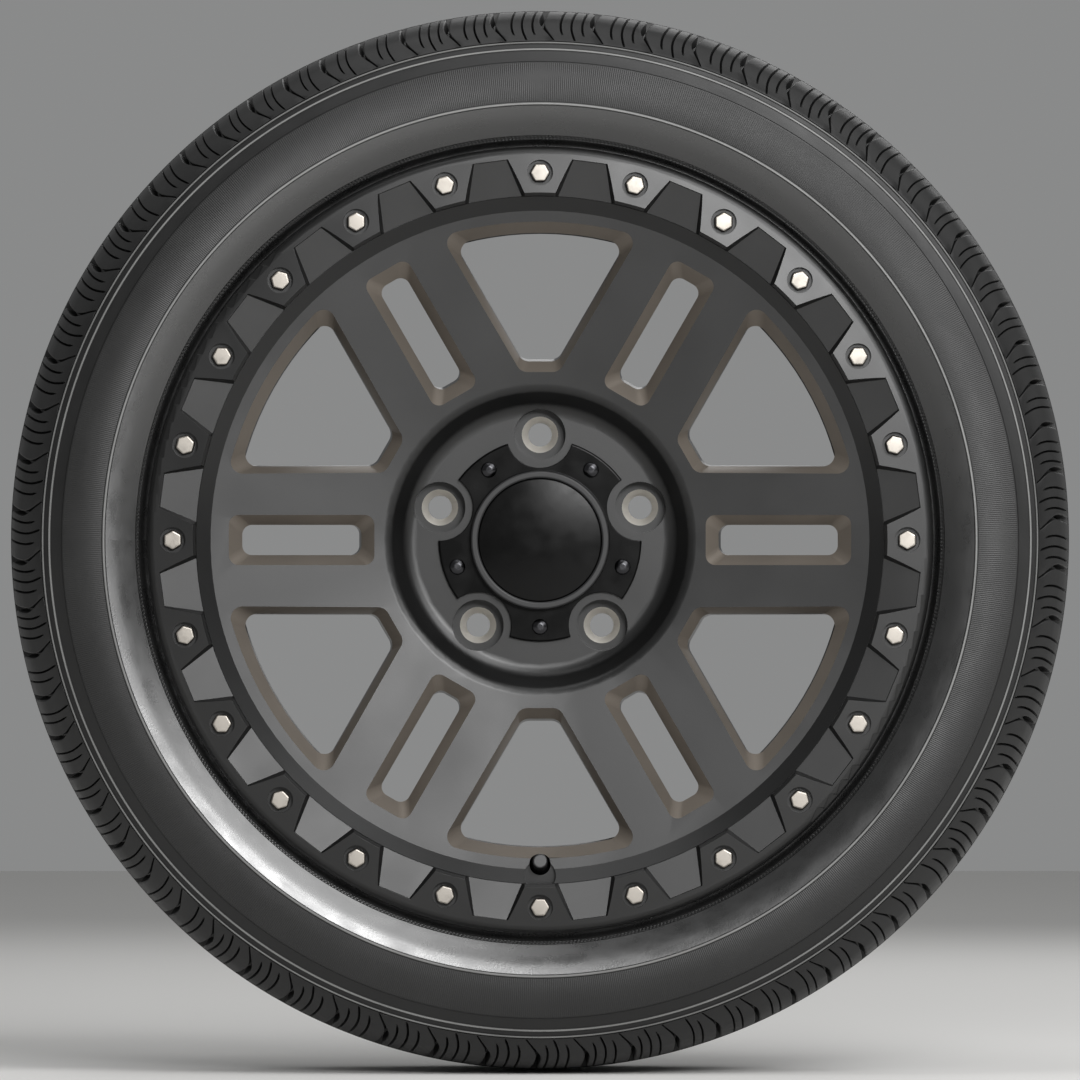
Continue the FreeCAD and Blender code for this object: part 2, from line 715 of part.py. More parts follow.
def make_rim_ring(doc, s, at):
    """The bolted ring: 24 counterbored bosses between drafted pockets open to the inside."""
    body = new_body(doc, "rim_ring")
    revolve(body, "RingRevolve", [
        (at.ring_inner, at.ring_back),
        (at.ring_outer, at.ring_back),
        (at.ring_outer, at.ring_front - s.ring_fall - s.ring_edge_radius, -s.ring_edge_radius),
        (at.ring_outer - s.ring_edge_radius, at.ring_front - s.ring_fall),
        (at.ring_inner + s.ring_chamfer, at.ring_front),
        (at.ring_inner, at.ring_front - s.ring_chamfer),
    ])
    half_pitch = 180.0 / s.ring_bolt_count.value
    outer = at.ring_outer - s.pocket_rim_land
    flare = (s.pocket_inner_width - s.pocket_outer_width) / (outer - at.ring_inner)
    inner = at.ring_inner - s.ring_chamfer * 2
    inner_width = s.pocket_inner_width + flare * s.ring_chamfer * 2
    # The floor tilts inwards, so its sketch starts lower and is stretched along the tilt
    lean = math.radians(s.pocket_tilt.value)
    level = Size(1.0, "1")
    stretch = Size(1 / math.cos(lean), "(1 / cos(Sizes.pocket_tilt))")
    floor = at.pocket_floor - at.ring_inner * Size(math.tan(lean), "tan(Sizes.pocket_tilt)")
    planes = (
        ("Top", at.ring_front, 0.0, level, s.pocket_draft),
        ("Floor", floor, s.pocket_tilt.value, stretch, Size(0.0, "0")),
    )
    sections = []
    for name, depth, tilt, scale, grown in planes:
        sketch = new_sketch(body, "Pocket" + name, "XZ_Plane", depth, half_pitch, tilt)
        widths = (s.pocket_outer_width / 2 + grown, inner_width / 2 + grown)
        rim = (outer + grown / 3) * scale
        hub = inner * scale
        draw_profile(sketch, [(widths[0], rim), (-widths[0], rim), (-widths[1], hub), (widths[1], hub)])
        sections.append(sketch)
    pocket = cut_loft(body, "RingPocket", *sections)
    around_axle(body, "RingPockets", [pocket], s.ring_bolt_count)
    clear = (s.ring_bolt_size + s.bolt_hole_gap * 2) / 2
    hole = turned_feature(body, "RingBore", "Groove", at.ring_bolts, [
        (0, at.ring_front + s.cut_over),
        (s.counterbore / 2, at.ring_front + s.cut_over),
        (s.counterbore / 2, at.bolt_shelf),
        (clear, at.bolt_shelf),
        (clear, at.ring_back - s.cut_over),
        (0, at.ring_back - s.cut_over),
    ])
    around_axle(body, "RingBores", [hole], s.ring_bolt_count)
    return body


def make_ring_bolts(doc, s, at):
    """The ring's hex bolts, each seated on its counterbore's shelf."""
    body = new_body(doc, "ring_bolts")
    body.AllowCompound = True
    corner = s.ring_bolt_flats / math.sqrt(3)
    head = new_sketch(body, "HexHead", "XZ_Plane", at.bolt_shelf)
    turns = [math.radians(60 * step) for step in range(6)]
    draw_profile(head, [(corner * math.cos(turn), at.ring_bolts + corner * math.sin(turn)) for turn in turns])
    hex_head = extrude(body, "BoltHead", "Pad", head, s.ring_bolt_head)
    shank = new_sketch(body, "Shank", "XZ_Plane", at.bolt_shelf)
    draw_circle(shank, Size(0.0, "0"), at.ring_bolts, s.ring_bolt_size)
    length = at.bolt_shelf - at.ring_back + s.ring_bolt_bite
    stem = extrude(body, "BoltShank", "Pad", shank, length, True)
    around_axle(body, "Bolts", [hex_head, stem], s.ring_bolt_count)
    return body


def make_cap_flange(doc, s, at):
    """The cap's plate, scalloped clear of the lug holes, with the collar for the disc."""
    body = new_body(doc, "cap_flange")
    edge = at.lugs - s.cap_plate_inset
    collar_top = at.cap_top + s.cap_collar_height
    shelf = collar_top - s.cap_plate
    revolve(body, "FlangeRevolve", [
        (at.cap_plug + s.cap_fit_gap, at.floor_depth),
        (edge, at.floor_depth),
        (edge, at.cap_top - s.cap_chamfer),
        (edge - s.cap_chamfer, at.cap_top),
        (at.cap_collar, at.cap_top),
        (at.cap_collar, collar_top - s.cap_chamfer),
        (at.cap_collar - s.cap_chamfer, collar_top),
        (at.cap_disc + s.cap_fit_gap + s.cap_chamfer, collar_top),
        (at.cap_disc + s.cap_fit_gap, collar_top - s.cap_chamfer),
        (at.cap_disc + s.cap_fit_gap, shelf),
        (at.cap_plug + s.cap_fit_gap, shelf),
    ])
    scallop = new_sketch(body, "Scallop", "XZ_Plane", at.cap_top)
    draw_circle(scallop, Size(0.0, "0"), at.lugs, s.cap_scallop)
    notch = extrude(body, "ScallopCut", "Pocket", scallop, s.cap_plate)
    around_axle(body, "Scallops", [notch], s.lug_count)
    hole = new_sketch(body, "ScrewHole", "XZ_Plane", at.cap_top)
    draw_circle(hole, Size(0.0, "0"), -at.cap_screws, s.cap_screw_size + s.bolt_hole_gap * 2)
    drilled = extrude(body, "ScrewDrill", "Pocket", hole, s.cap_plate)
    around_axle(body, "ScrewHoles", [drilled], s.lug_count)
    return body


def make_cap_disc(doc, s, at):
    """The plain domed disc with the plug that snaps into the collar."""
    body = new_body(doc, "cap_disc")
    collar_top = at.cap_top + s.cap_collar_height
    shelf = collar_top - s.cap_plate
    dome_radius = (at.cap_disc * at.cap_disc + s.cap_dome * s.cap_dome) / (s.cap_dome * 2)
    revolve(body, "DiscRevolve", [
        (0, shelf - s.cap_plate),
        (at.cap_plug, shelf - s.cap_plate),
        (at.cap_plug, shelf),
        (at.cap_disc, shelf),
        (at.cap_disc, collar_top - s.cap_chamfer, -dome_radius),
        (0, collar_top - s.cap_chamfer + s.cap_dome),
    ])
    return body


def make_cap_screws(doc, s, at):
    """The five round-headed screws that hold the cap's plate."""
    body = new_body(doc, "cap_screws")
    body.AllowCompound = True
    tip = at.cap_top - s.cap_screw_length
    screw = turned_feature(body, "CapScrew", "Revolution", -at.cap_screws, [
        (0, tip),
        (s.cap_screw_size / 2, tip),
        (s.cap_screw_size / 2, at.cap_top),
        (s.cap_screw_head / 2, at.cap_top),
        (s.cap_screw_head / 2 - s.cap_screw_round, at.cap_top + s.cap_screw_rise / 2),
        (s.cap_screw_size / 2, at.cap_top + s.cap_screw_rise),
        (0, at.cap_top + s.cap_screw_rise),
    ])
    around_axle(body, "CapScrews", [screw], s.lug_count)
    return body


def place_on_valve_axis(body, s):
    """Stand a body's Y axis on the valve's axis, with its zero at the inner face of the wall."""
    turn = FreeCAD.Rotation(Vector(1, 0, 0), 180 - s.valve_tilt.value)
    body.Placement = FreeCAD.Placement(Vector(0, -s.valve_wall_depth.value, -s.valve_radius.value), turn)
    body.setExpression("Placement.Base.y", "0 - Sizes.valve_wall_depth")
    body.setExpression("Placement.Base.z", "0 - Sizes.valve_radius")
    body.setExpression("Placement.Rotation.Angle", "180 - Sizes.valve_tilt")


def make_valve_piece(doc, s, label, corners):
    """Turn (radius, height) corners about the valve's axis."""
    body = new_body(doc, label)
    revolve(body, label + "_turned", [(r, -as_size(t), *rest) for r, t, *rest in corners])
    place_on_valve_axis(body, s)
    return body


def make_valve(doc, s):
    """The snap-in valve: rubber body, brass tube, core, pin and dust cap."""
    tube = s.valve_tube_diameter / 2
    thread = s.valve_thread / 2
    top = s.valve_body_length + s.valve_thread_length
    body_end = s.valve_body_length - s.valve_cap_gap
    foot = s.valve_foot / 2
    neck = (s.valve_hole - s.valve_fit_gap) / 2
    bulge = s.valve_channel / 2 - s.valve_cap_gap
    core_top = top - s.valve_core_recess
    core_foot = core_top - s.valve_core_length
    chamber = s.valve_core_diameter / 2
    bore = s.valve_air_bore / 2
    pin_radius = s.valve_pin_diameter / 2
    seal = bore - s.valve_fit_gap
    cap_inner = thread + s.valve_cap_gap
    cap_outer = cap_inner + s.valve_cap_wall
    cap_roof = top + s.valve_cap_gap
    pieces = [make_valve_piece(doc, s, "valve_body", [
        (tube, -s.valve_foot_height + s.cut_over),
        (foot - s.cut_over, -s.valve_foot_height + s.cut_over),
        (foot, -s.valve_foot_height / 2),
        (foot, 0),
        (neck, 0),
        (neck, s.valve_wall),
        (bulge, s.valve_wall + s.valve_cap_gap),
        (bulge, s.valve_wall * 2),
        (s.valve_neck / 2, body_end - s.valve_wall),
        (s.valve_neck / 2, body_end),
        (tube, body_end),
    ])]
    pieces.append(make_valve_piece(doc, s, "valve_tube", [
        (bore, -s.valve_foot_height + s.cut_over),
        (tube, -s.valve_foot_height + s.cut_over),
        (tube, s.valve_body_length),
        (thread, s.valve_body_length + s.valve_chamfer),
        (thread, top - s.valve_chamfer),
        (thread - s.valve_chamfer, top),
        (chamber, top),
        (chamber, core_foot),
        (bore, core_foot),
    ]))
    pieces.append(make_valve_piece(doc, s, "valve_core", [
        (s.valve_pin_bore / 2, core_foot),
        (chamber, core_foot),
        (chamber, core_top),
        (s.valve_pin_bore / 2, core_top),
    ]))
    pieces.append(make_valve_piece(doc, s, "valve_pin", [
        (0, core_foot - s.valve_core_recess),
        (seal, core_foot - s.valve_core_recess),
        (seal, core_foot - s.valve_fit_gap),
        (pin_radius, core_foot - s.valve_fit_gap),
        (pin_radius, core_top + s.valve_pin_rise),
        (0, core_top + s.valve_pin_rise),
    ]))
    pieces.append(make_valve_piece(doc, s, "valve_cap", [
        (cap_inner, s.valve_body_length),
        (cap_outer, s.valve_body_length),
        (cap_outer, cap_roof + s.valve_cap_top - s.valve_cap_dome, s.valve_cap_dome),
        (cap_outer - s.valve_cap_dome, cap_roof + s.valve_cap_top),
        (0, cap_roof + s.valve_cap_top),
        (0, cap_roof),
        (cap_inner, cap_roof),
    ]))
    return pieces


def check(doc, bodies):
    """Stop if anything in the document failed or came out unsound."""
    for item in doc.Objects:
        if "Invalid" in item.State or "Error" in item.State:
            raise RuntimeError(f"{item.Name} failed: {item.State}")
    for body in bodies:
        if body.Shape.isNull() or not body.Shape.isValid():
            raise RuntimeError(f"{body.Label} has no sound shape")


def main():
    doc = FreeCAD.newDocument("wheel_and_tyre")
    sizes = Sheet(doc)
    at = Layout(sizes)
    makers = (make_tyre, make_wheel, make_rim_ring, make_ring_bolts, make_cap_flange, make_cap_disc,
              make_cap_screws)
    bodies = [make(doc, sizes, at) for make in makers]
    bodies += make_valve(doc, sizes)
    doc.recompute()
    check(doc, bodies)
    os.makedirs("parts", exist_ok=True)
    for body in bodies:
        body.Shape.exportStep(f"parts/{body.Label}.step")
        print(body.Label, len(body.Shape.Solids), round(body.Shape.Volume / 1000, 3), "cm3")


main()
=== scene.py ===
"""Road tyre on a six-spoke alloy wheel with a bolted rim ring, dressed and lit for a studio view."""

import logging
import math
from dataclasses import dataclass
from enum import IntEnum

import bpy
import numpy as np
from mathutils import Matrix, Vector


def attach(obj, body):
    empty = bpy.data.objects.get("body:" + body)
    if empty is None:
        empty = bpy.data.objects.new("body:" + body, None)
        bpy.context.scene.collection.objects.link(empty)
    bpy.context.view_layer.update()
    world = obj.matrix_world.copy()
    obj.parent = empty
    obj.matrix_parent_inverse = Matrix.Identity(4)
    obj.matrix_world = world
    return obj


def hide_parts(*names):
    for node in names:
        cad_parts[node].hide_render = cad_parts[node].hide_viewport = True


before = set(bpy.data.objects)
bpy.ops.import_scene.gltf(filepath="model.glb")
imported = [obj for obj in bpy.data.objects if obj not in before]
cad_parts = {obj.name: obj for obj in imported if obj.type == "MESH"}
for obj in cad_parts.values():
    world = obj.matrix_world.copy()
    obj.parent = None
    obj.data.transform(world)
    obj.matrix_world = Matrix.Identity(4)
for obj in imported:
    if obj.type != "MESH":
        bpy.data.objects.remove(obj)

log = logging.getLogger("wheel_scene")
MM = 0.001
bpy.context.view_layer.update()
BODY = "wheel_and_tyre"


# Shared helpers


def linear(code: str) -> tuple[float, float, float, float]:
    """Turn an sRGB hex colour into linear RGBA.

    Args:
        code: six hex digits, with or without a leading hash.

    Returns:
        The linear colour with full alpha.
    """
    digits = code.lstrip("#")
    levels = [int(digits[i:i + 2], 16) / 255 for i in (0, 2, 4)]
    red, green, blue = [c / 12.92 if c <= 0.04045 else ((c + 0.055) / 1.055) ** 2.4 for c in levels]
    return red, green, blue, 1.0


def add_node(tree: bpy.types.NodeTree, kind: str, sockets: dict | None = None, **settings) -> bpy.types.Node:
    """Add a node with its settings, values and links.

    Args:
        tree: the node tree that gets the node.
        kind: the node's type name.
        sockets: input name or index to a value, or to the output socket that feeds it.
        **settings: properties of the node itself.

    Returns:
        The new node.
    """
    made = tree.nodes.new(kind)
    for name, value in settings.items():
        setattr(made, name, value)
    for name, value in (sockets or {}).items():
        if isinstance(value, bpy.types.NodeSocket):
            tree.links.new(value, made.inputs[name])
        else:
            made.inputs[name].default_value = value
    return made


def new_material(name: str) -> tuple[bpy.types.Material, bpy.types.NodeTree]:
    """Make an empty node material.

    Args:
        name: the material's name.

    Returns:
        The material and its node tree.
    """
    made = bpy.data.materials.new(name)
    made.use_nodes = True
    made.node_tree.nodes.clear()
    return made, made.node_tree


def finish_shader(tree: bpy.types.NodeTree, sockets: dict) -> None:
    """Add the Principled shader and the output.

    Args:
        tree: the material's tree.
        sockets: the shader's values and links.
    """
    shader = add_node(tree, "ShaderNodeBsdfPrincipled", sockets)
    add_node(tree, "ShaderNodeOutputMaterial", {"Surface": shader.outputs["BSDF"]})


def deselect_all() -> None:
    """Leave object mode with nothing selected."""
    if bpy.context.object and bpy.context.object.mode != "OBJECT":
        bpy.ops.object.mode_set(mode="OBJECT")
    bpy.ops.object.select_all(action="DESELECT")


def make_active(piece: bpy.types.Object) -> None:
    """Select one piece alone and make it active."""
    deselect_all()
    piece.select_set(True)
    bpy.context.view_layer.objects.active = piece


def apply_modifier(piece: bpy.types.Object, kind: str, **settings) -> None:
    """Add a modifier to a piece and apply it.

    Args:
        piece: the piece to change.
        kind: the modifier's type name.
        **settings: the modifier's properties.
    """
    make_active(piece)
    modifier = piece.modifiers.new(kind.title(), kind)
    for name, value in settings.items():
        setattr(modifier, name, value)
    bpy.ops.object.modifier_apply(modifier=modifier.name)


def smooth_by_angle(piece: bpy.types.Object, degrees: float) -> None:
    """Shade a piece smooth, with edges sharper than an angle kept crisp."""
    make_active(piece)
    bpy.ops.object.shade_smooth_by_angle(angle=math.radians(degrees))


def face_table(piece: bpy.types.Object) -> tuple[np.ndarray, np.ndarray]:
    """Read every face's centre and normal.

    Args:
        piece: the mesh piece.

    Returns:
        Two arrays of one row a face, in millimetres and as unit vectors.
    """
    count = len(piece.data.polygons)
    centres = np.empty(count * 3)
    normals = np.empty(count * 3)
    piece.data.polygons.foreach_get("center", centres)
    piece.data.polygons.foreach_get("normal", normals)
    return centres.reshape(-1, 3) / MM, normals.reshape(-1, 3)


def face_peaks(piece: bpy.types.Object, values: np.ndarray) -> np.ndarray:
    """Find the largest value among each face's corners.

    Args:
        piece: the mesh piece.
        values: one value a vertex.

    Returns:
        One value a face.
    """
    corners = np.empty(len(piece.data.loops), dtype=np.int32)
    starts = np.empty(len(piece.data.polygons), dtype=np.int32)
    piece.data.loops.foreach_get("vertex_index", corners)
    piece.data.polygons.foreach_get("loop_start", starts)
    return np.maximum.reduceat(values[corners], starts)


def vertex_table(piece: bpy.types.Object) -> np.ndarray:
    """Read every vertex's place, in millimetres."""
    places = np.empty(len(piece.data.vertices) * 3)
    piece.data.vertices.foreach_get("co", places)
    return places.reshape(-1, 3) / MM


def paint_faces(piece: bpy.types.Object, chosen: np.ndarray, slot: int) -> None:
    """Give the chosen faces a material slot of the piece."""
    slots = np.zeros(len(piece.data.polygons), dtype=np.int32)
    piece.data.polygons.foreach_get("material_index", slots)
    slots[chosen] = slot
    piece.data.polygons.foreach_set("material_index", slots)
    piece.data.update()


def settle(piece: bpy.types.Object, slot: str, body: str, *nodes: str) -> None:
    """Let a finished piece stand for its nodes and ride on its body.

    Args:
        piece: the finished piece.
        slot: a material slot name; not used.
        body: the body that carries it.
        *nodes: the nodes that it replaces.
    """
    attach(piece, body)
    if nodes:
        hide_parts(*nodes)
    log.info("%s: %d faces", piece.name, len(piece.data.polygons))


# Finishes


@dataclass(frozen=True)
class TyreRubber:
    """Cured carbon-black rubber: near black and dull, with a wiped sheen low on the sidewall, painted shade
    in the sunk slots and sipes and a painted highlight on the raised ribs.
    """

    colour: str = "#0f0f0f"
    serrated_colour: str = "#1b1b1b"
    tread_colour: str = "#1f1f1f"
    # painted shade: the colour given to sunk slots and sipes, darker the deeper they sink
    slot_shade_colour: str = "#0c0c0c"
    # painted highlight: a light grey on the raised ribs for the light that they catch
    rib_highlight_colour: str = "#6a6a69"
    ribs: tuple[tuple[float, float], ...] = ((287.0, 289.0), (323.2, 325.0), (327.8, 329.3))
    serration_spacing: float = 1.3
    serrations: tuple[float, float] = (288.9, 315.2)
    bead_line_spacing: float = 2.4
    bead_lines: tuple[tuple[float, float], ...] = ((261.3, 262.9), (265.2, 266.8))
    tread_start: float = 330.0
    tread_fade: float = 16.0
    wiped_end: tuple[float, float] = (286.5, 288.5)
    edge_fade: float = 0.5
    grain_size: float = 1.4
    cloud_size: float = 45.0
    streak_width: float = 9.0
    streak_pull: float = 0.12
    tread_roughness: float = 0.56
    wall_roughness: float = 0.46
    wiped_roughness: float = 0.28
    wiped_sheen: float = 1.0
    wall_sheen: float = 0.5

    def within(self, tree: bpy.types.NodeTree, radius: bpy.types.NodeSocket, inner: float,
               outer: float) -> bpy.types.NodeSocket:
        """Give 1 between two radii and 0 elsewhere, with soft ends.

        Args:
            tree: the material's tree.
            radius: the distance from the axle, in metres.
            inner: the smaller radius, in millimetres.
            outer: the larger radius, in millimetres.

        Returns:
            The socket of the mask.
        """
        rise = add_node(tree, "ShaderNodeMapRange", {
            "Value": radius, "From Min": inner * MM, "From Max": (inner + self.edge_fade) * MM}).outputs[0]
        fall = add_node(tree, "ShaderNodeMapRange", {
            "Value": radius, "From Min": (outer - self.edge_fade) * MM, "From Max": outer * MM,
            "To Min": 1.0, "To Max": 0.0}).outputs[0]
        return add_node(tree, "ShaderNodeMath", {0: rise, 1: fall}, operation="MULTIPLY").outputs[0]

    def teeth(self, tree: bpy.types.NodeTree, angle: bpy.types.NodeSocket, spacing: float,
              radius: float) -> bpy.types.NodeSocket:
        """Give a wave that runs round the tyre with a real spacing at a radius, both in millimetres.

        Args:
            tree: the material's tree.
            angle: the angle about the axle, in radians.
            spacing: the length of one wave.
            radius: where that length holds.

        Returns:
            The socket of the wave, from -1 to 1.
        """
        count = round(2 * math.pi * radius / spacing)
        turns = add_node(tree, "ShaderNodeMath", {
            0: angle, 1: float(count)}, operation="MULTIPLY").outputs[0]
        return add_node(tree, "ShaderNodeMath", {0: turns}, operation="SINE").outputs[0]

    def material(self) -> bpy.types.Material:
        """Build the rubber, with serrations that run along the radius."""
        made, tree = new_material("cured_tyre_rubber")
        place = add_node(tree, "ShaderNodeTexCoord").outputs["Object"]
        split = add_node(tree, "ShaderNodeSeparateXYZ", {0: place}).outputs
        flat = add_node(tree, "ShaderNodeCombineXYZ", {"X": split["X"], "Z": split["Z"]}).outputs[0]
        radius = add_node(tree, "ShaderNodeVectorMath", {0: flat}, operation="LENGTH").outputs["Value"]
        angle = add_node(tree, "ShaderNodeMath", {
            0: split["Z"], 1: split["X"]}, operation="ARCTAN2").outputs[0]
        # Moulded serrations and the toothed lines by the bead, coarser than real ones so that they show
        band = self.within(tree, radius, *self.serrations)
        wave = self.teeth(tree, angle, self.serration_spacing, sum(self.serrations) / 2)
        moulded = add_node(tree, "ShaderNodeMath", {0: wave, 1: band}, operation="MULTIPLY").outputs[0]
        lines = [self.within(tree, radius, *line) for line in self.bead_lines]
        lined = add_node(tree, "ShaderNodeMath", {0: lines[0], 1: lines[1]}, operation="ADD").outputs[0]
        notches = self.teeth(tree, angle, self.bead_line_spacing, self.bead_lines[0][0])
        notched = add_node(tree, "ShaderNodeMath", {0: notches, 1: lined}, operation="MULTIPLY").outputs[0]
        height = add_node(tree, "ShaderNodeMath", {0: moulded, 1: notched}, operation="ADD").outputs[0]
        # Fine mould grain, slow clouds of dust and wiping streaks that follow the tyre round
        grain = add_node(tree, "ShaderNodeTexNoise", {
            "Vector": place, "Scale": 1 / (self.grain_size * MM),
            "Detail": 3.0, "Roughness": 0.6}).outputs["Fac"]
        cloud = add_node(tree, "ShaderNodeTexNoise", {
            "Vector": place, "Scale": 1 / (self.cloud_size * MM),
            "Detail": 5.0, "Roughness": 0.6}).outputs["Fac"]
        along = add_node(tree, "ShaderNodeMath", {
            0: angle, 1: self.streak_pull}, operation="MULTIPLY").outputs[0]
        wiped = add_node(tree, "ShaderNodeCombineXYZ", {"X": radius, "Y": along, "Z": split["Y"]}).outputs[0]
        streak = add_node(tree, "ShaderNodeTexNoise", {
            "Vector": wiped, "Scale": 1 / (self.streak_width * MM),
            "Detail": 3.0, "Roughness": 0.5}).outputs["Fac"]
        tread = add_node(tree, "ShaderNodeMapRange", {
            "Value": radius, "From Min": self.tread_start * MM,
            "From Max": (self.tread_start + self.tread_fade) * MM}).outputs[0]
        colour = add_node(tree, "ShaderNodeMix", {
            0: tread, 6: linear(self.colour), 7: linear(self.tread_colour)}, data_type="RGBA").outputs[2]
        colour = add_node(tree, "ShaderNodeMix", {
            0: band, 6: colour, 7: linear(self.serrated_colour)}, data_type="RGBA").outputs[2]
        # Painted highlight: the raised ribs are drawn light grey for the bright lines that they catch
        for rib in self.ribs:
            ribbed = self.within(tree, radius, *rib)
            colour = add_node(tree, "ShaderNodeMix", {
                0: ribbed, 6: colour, 7: linear(self.rib_highlight_colour)}, data_type="RGBA").outputs[2]
        # Painted shade: slot floors, sipes and, a little, slot chamfers are darkened by how deep they are
        # sunk
        pressed = add_node(tree, "ShaderNodeAttribute", attribute_name="pressed").outputs["Fac"]
        colour = add_node(tree, "ShaderNodeMix", {
            0: pressed, 6: colour, 7: linear(self.slot_shade_colour)}, data_type="RGBA").outputs[2]
        dusty = add_node(tree, "ShaderNodeMapRange", {
            "Value": cloud, "From Min": 0.35, "From Max": 0.75, "To Min": 0.85, "To Max": 1.15}).outputs[0]
        shaded = add_node(tree, "ShaderNodeVectorMath", {0: colour, 3: dusty}, operation="SCALE").outputs[0]
        wiped_inner, wiped_outer = [edge * MM for edge in self.wiped_end]
        wall = add_node(tree, "ShaderNodeMapRange", {
            "Value": radius, "From Min": wiped_inner, "From Max": wiped_outer,
            "To Min": self.wiped_roughness, "To Max": self.wall_roughness}).outputs[0]
        sheen = add_node(tree, "ShaderNodeMapRange", {
            "Value": radius, "From Min": wiped_inner, "From Max": wiped_outer,
            "To Min": self.wiped_sheen, "To Max": self.wall_sheen}).outputs[0]
        dull = add_node(tree, "ShaderNodeMapRange", {
            "Value": tread, "To Min": 0.0, "To Max": self.tread_roughness - self.wall_roughness}).outputs[0]
        level = add_node(tree, "ShaderNodeMath", {0: wall, 1: dull}, operation="ADD").outputs[0]
        drift = add_node(tree, "ShaderNodeMapRange", {
            "Value": streak, "From Min": 0.3, "From Max": 0.7, "To Min": -0.04, "To Max": 0.06}).outputs[0]
        rough = add_node(tree, "ShaderNodeMath", {0: level, 1: drift}, operation="ADD").outputs[0]
        fine = add_node(tree, "ShaderNodeBump", {
            "Strength": 0.18, "Distance": 0.2 * MM, "Height": grain}).outputs[0]
        relief = add_node(tree, "ShaderNodeBump", {
            "Strength": 0.4, "Distance": 0.2 * MM, "Height": height, "Normal": fine}).outputs[0]
        finish_shader(tree, {
            "Base Color": shaded, "Roughness": rough, "Specular IOR Level": sheen, "Normal": relief})
        return made


@dataclass(frozen=True)
class SatinPaint:
    """Satin powder coat on cast alloy: a soft broad sheen with a fine pebbled skin."""

    name: str = "satin_powder_coat"
    colour: str = "#0f0f0f"
    metallic: float = 0.1
    roughness: float = 0.34
    grit: float = 0.9
    relief: float = 0.12
    sheen: float = 0.55
    drift_size: float = 70.0

    def material(self) -> bpy.types.Material:
        """Build the coat, with grit of a real spacing and slow drifts of sheen."""
        made, tree = new_material(self.name)
        place = add_node(tree, "ShaderNodeTexCoord").outputs["Object"]
        grit = add_node(tree, "ShaderNodeTexNoise", {
            "Vector": place, "Scale": 1 / (self.grit * MM), "Detail": 2.0, "Roughness": 0.5}).outputs["Fac"]
        drift = add_node(tree, "ShaderNodeTexNoise", {
            "Vector": place, "Scale": 1 / (self.drift_size * MM),
            "Detail": 3.0, "Roughness": 0.5}).outputs["Fac"]
        tone = add_node(tree, "ShaderNodeMapRange", {
            "Value": drift, "From Min": 0.3, "From Max": 0.7, "To Min": 0.92, "To Max": 1.08}).outputs[0]
        base = add_node(tree, "ShaderNodeRGB")
        base.outputs[0].default_value = linear(self.colour)
        colour = add_node(tree, "ShaderNodeVectorMath", {
            0: base.outputs[0], 3: tone}, operation="SCALE").outputs[0]
        rough = add_node(tree, "ShaderNodeMapRange", {
            "Value": drift, "From Min": 0.3, "From Max": 0.7,
            "To Min": self.roughness - 0.04, "To Max": self.roughness + 0.05}).outputs[0]
        skin = add_node(tree, "ShaderNodeBump", {
            "Strength": self.relief, "Distance": 0.15 * MM, "Height": grit}).outputs[0]
        finish_shader(tree, {
            "Base Color": colour, "Metallic": self.metallic, "Roughness": rough,
            "Specular IOR Level": self.sheen, "Normal": skin})
        return made


@dataclass(frozen=True)
class TurnedMetal:
    """Machined or plated metal: bright, with fine tool marks and faint stains."""

    name: str = "machined_aluminium"
    colour: str = "#cfccc6"
    roughness: float = 0.3
    mark_spacing: float = 0.55
    metallic: float = 1.0
    stain_size: float = 6.0

    def material(self) -> bpy.types.Material:
        """Build the metal, with tool marks drawn coarse enough to show."""
        made, tree = new_material(self.name)
        place = add_node(tree, "ShaderNodeTexCoord").outputs["Object"]
        marks = add_node(tree, "ShaderNodeTexNoise", {
            "Vector": place, "Scale": 1 / (self.mark_spacing * MM), "Detail": 2.0}).outputs["Fac"]
        stain = add_node(tree, "ShaderNodeTexNoise", {
            "Vector": place, "Scale": 1 / (self.stain_size * MM), "Detail": 3.0}).outputs["Fac"]
        rough = add_node(tree, "ShaderNodeMapRange", {
            "Value": stain, "From Min": 0.3, "From Max": 0.7,
            "To Min": self.roughness - 0.08, "To Max": self.roughness + 0.1}).outputs[0]
        skin = add_node(tree, "ShaderNodeBump", {
            "Strength": 0.15, "Distance": 0.05 * MM, "Height": marks}).outputs[0]
        finish_shader(tree, {
            "Base Color": linear(self.colour), "Metallic": self.metallic,
            "Roughness": rough, "Normal": skin})
        return made


@dataclass(frozen=True)
class GlossBlack:
    """Piano-black ABS: deep black under a clear glossy skin, with faint handling marks."""

    name: str = "gloss_black_abs"
    colour: str = "#040404"
    roughness: float = 0.2
    sheen: float = 0.14
    haze_size: float = 14.0

    def material(self) -> bpy.types.Material:
        """Build the plastic, with slow ripples in its gloss."""
        made, tree = new_material(self.name)
        place = add_node(tree, "ShaderNodeTexCoord").outputs["Object"]
        haze = add_node(tree, "ShaderNodeTexNoise", {
            "Vector": place, "Scale": 1 / (self.haze_size * MM), "Detail": 4.0}).outputs["Fac"]
        rough = add_node(tree, "ShaderNodeMapRange", {
            "Value": haze, "From Min": 0.35, "From Max": 0.75,
            "To Min": self.roughness, "To Max": self.roughness + 0.08}).outputs[0]
        skin = add_node(tree, "ShaderNodeBump", {
            "Strength": 0.05, "Distance": 0.2 * MM, "Height": haze}).outputs[0]
        finish_shader(tree, {
            "Base Color": linear(self.colour), "Roughness": rough,
            "Specular IOR Level": self.sheen, "Normal": skin})
        return made


